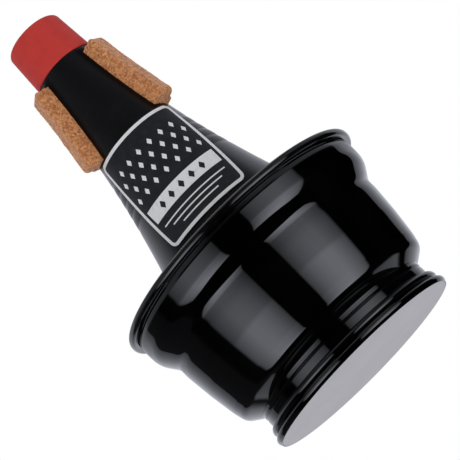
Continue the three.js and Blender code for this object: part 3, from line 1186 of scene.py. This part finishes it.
cards = {
    "surroundRadius": 700, "surroundFoot": -3000, "surroundTop": 1070,
    "tint": (0.92, 0.945, 1.05),  # the studio's light is a little cool
    "centreUp": (  # height, and brightness
        (-3000, 0), (265, 0), (480, 0.12), (560, 0.19), (800, 0.06), (1070, 0.03),
    ),
    "frontUp": (
        (-3000, 0), (265, 0), (292, 0.42), (480, 0.42), (560, 0.15), (800, 0.05), (1070, 0.03),
    ),
    "sideUp": (
        (-3000, 0), (205, 0), (235, 0.43), (480, 0.43), (560, 0.15), (800, 0.05), (1070, 0.03),
    ),
    "frontTurn": (10, 42),  # bearings over which the centre gives way to the front
    "sideTurn": (48, 60),  # bearings over which the front gives way to the side
    "leftGlow": (84, 92, 0.045),  # bearings over which it rises, and brightness
    "backAngle": 131.5, "backLean": 0.045,
    "backLeft": 7.6,  # how much nearer the front it starts on the left
    "backGlow": (0.35, 0.018, 0.85),  # at its edge, more for each degree, and at most
    "backSoft": 1.5, "backHeights": (-440, -250),
    "coneHeights": (150, 260),  # heights over which the back dims, where the cone reflects it
    "coneGlow": (118, 150, 0.4, 0.25),  # bearings over which it falls, from and to
    "gapAngles": (108, 134, 141, 145), "gapHeights": (-1000, -900, -490, -400), "gapGlow": 0.62,
    "boxRadius": 400, "boxFoot": -290, "boxTop": 142, "boxColumns": 48,
    "boxStrengths": (3.78, 4.1),  # left and right
    "boxAcross": (  # degrees from the front, and brightness
        (13.8, 0), (15.5, 0.3), (20, 0.48), (25, 0.68), (31.5, 0.86), (39, 1),
        (47, 1), (54, 0.78), (61, 0.54), (65, 0.4), (68, 0),
    ),
    "boxCorner": (56, 4, 8),  # bearing where the foot starts to rise, rise a degree, softness
    "boxUp": (  # height, and brightness
        (-290, 0), (-283, 0.85), (-240, 0.97), (-120, 0.89), (-60, 0.8), (0, 0.79),
        (15, 0.69), (35, 0.54), (55, 0.46), (80, 0.42), (100, 0.4), (142, 0.4),
    ),
}


def cardMesh(name, radius, angles, foot, top, material, columns):
    points, faces = [], []
    for column in range(columns + 1):
        angle = math.radians(blend(*angles, column / columns))
        for height in (foot, top):
            points.append(turned(radius, angle, height))
    for column in range(columns):
        faces.append((2 * column, 2 * column + 1, 2 * column + 3, 2 * column + 2))
    stageMesh(name, points, faces, material).visible_camera = False


def glow(paint, tint, strength):
    material = paint.finish({
        "Base Color": (0, 0, 0),
        "Roughness": 1.0,
        "Specular IOR Level": 0.0,
        "Emission Color": paint.mix(tint, cards["tint"], 1.0, "MULTIPLY"),
        "Emission Strength": strength,
    })
    material.cycles.emission_sampling = "NONE"
    return material


def bearing(x, y):  # degrees round from the front, always positive
    return x.maths("ARCTAN2", x.size(), 0 - y) * math.degrees(1)


def level(paint, value, stops):  # brightness that follows a table of value and brightness
    start, end = stops[0][0], stops[-1][0]
    spots = [((spot - start) / (end - start), (bright,) * 3) for spot, bright in stops]
    return paint.ramp((value - start) / (end - start), spots)


def makeSurround():
    look = cards
    paint = newPaint("surround")
    x, y, height = paint.parts(paint.place())
    around, left = bearing(x, y), (0 - x).step(-1, 1)
    centre = level(paint, height, look["centreUp"])
    front = level(paint, height, look["frontUp"])
    side = level(paint, height, look["sideUp"])
    front = paint.mix(centre, front, around.step(*look["frontTurn"]))
    front = paint.mix(front, side, around.step(*look["sideTurn"]))

    beyond = around - (look["backAngle"] - height * look["backLean"] - left * look["backLeft"])
    start, gain, most = look["backGlow"]
    turnStart, turnEnd, bright, dark = look["coneGlow"]
    dimmed = bright - around.step(turnStart, turnEnd) * (bright - dark)
    limit = most - height.step(*look["coneHeights"]) * (most - dimmed)
    back = beyond.step(0, look["backSoft"]) * (beyond * gain + start).least(limit)
    back = back * height.step(*look["backHeights"])
    gap = between(around, *look["gapAngles"]) * between(height, *look["gapHeights"])
    glowStart, glowEnd, glowMost = look["leftGlow"]
    leftGlow = left * around.step(glowStart, glowEnd) * glowMost
    white = back.most(gap * look["gapGlow"]).most(leftGlow)
    material = glow(paint, paint.mix(front, (1, 1, 1), white), 1.0)

    radius, foot, top = look["surroundRadius"], look["surroundFoot"], look["surroundTop"]
    cardMesh("surround", radius, (-180, 180), foot, top, material, stageSides)
    stageDisc("surroundBase", radius, foot, material).visible_camera = False


def makeSoftbox(name, hand, strength):
    look = cards
    paint = newPaint(name)
    x, y, height = paint.parts(paint.place())
    around = bearing(x, y)
    start, rise, soft = look["boxCorner"]
    corner = (height - look["boxFoot"] - (around - start) * rise).step(0, soft)
    across, up = level(paint, around, look["boxAcross"]), level(paint, height, look["boxUp"])
    tint = paint.mix((0, 0, 0), paint.mix(up, across, 1.0, "MULTIPLY"), corner)
    angles = [hand * look["boxAcross"][end][0] for end in (0, -1)]
    foot, top = look["boxFoot"], look["boxTop"]
    material = glow(paint, tint, strength)
    cardMesh(name, look["boxRadius"], angles, foot, top, material, look["boxColumns"])


makeSurround()
makeSoftbox("softboxLeft", -1, cards["boxStrengths"][0])
makeSoftbox("softboxRight", 1, cards["boxStrengths"][1])
print("reflected stage built")


# World: white to the camera and in reflections, and a plain soft light on the object

light = {
    "sky": 0.75,
    "white": 1.0,
    "lampPower": 6.5, "lampSize": 900, "lampDistance": 1500, "lampBearings": (-42, 42),
    "lampHeight": -870, "lampAim": 80,  # the heights that they stand at and point at
}


def makeWorld():
    world = bpy.data.worlds.new("studio")
    bpy.context.scene.world = world
    world.cycles.sampling_method = "NONE"
    paint = Paint(world)
    path = paint.node("LightPath").socket.node.outputs
    camera, glossy, through = [Wire(paint, path[f"Is {kind} Ray"])
                               for kind in ("Camera", "Glossy", "Transmission")]
    white = (camera + glossy + through).least(1)
    strength = white * (light["white"] - light["sky"]) + light["sky"]
    sky = paint.node("Background", {}, {"Color": (1, 1, 1, 1), "Strength": strength})
    paint.node("OutputWorld", {}, {"Surface": sky})


def makeLamps():
    distance, height = light["lampDistance"], light["lampHeight"]
    aim = Vector((0, 0, light["lampAim"])) * mm
    for name, angle in zip(("lampLeft", "lampRight"), light["lampBearings"]):
        lamp = bpy.data.lights.new(name, "AREA")
        lamp.energy, lamp.size = light["lampPower"], light["lampSize"] * mm
        place = turned(distance, math.radians(angle), height) * mm
        holder = placed(name, lamp)
        holder.location = place
        holder.rotation_mode = "QUATERNION"
        holder.rotation_quaternion = (aim - place).to_track_quat("-Z", "Y")
        holder.visible_glossy = False


makeWorld()
makeLamps()
print("world and lamps made")
bpy.context.scene.view_settings.view_transform = "Standard"
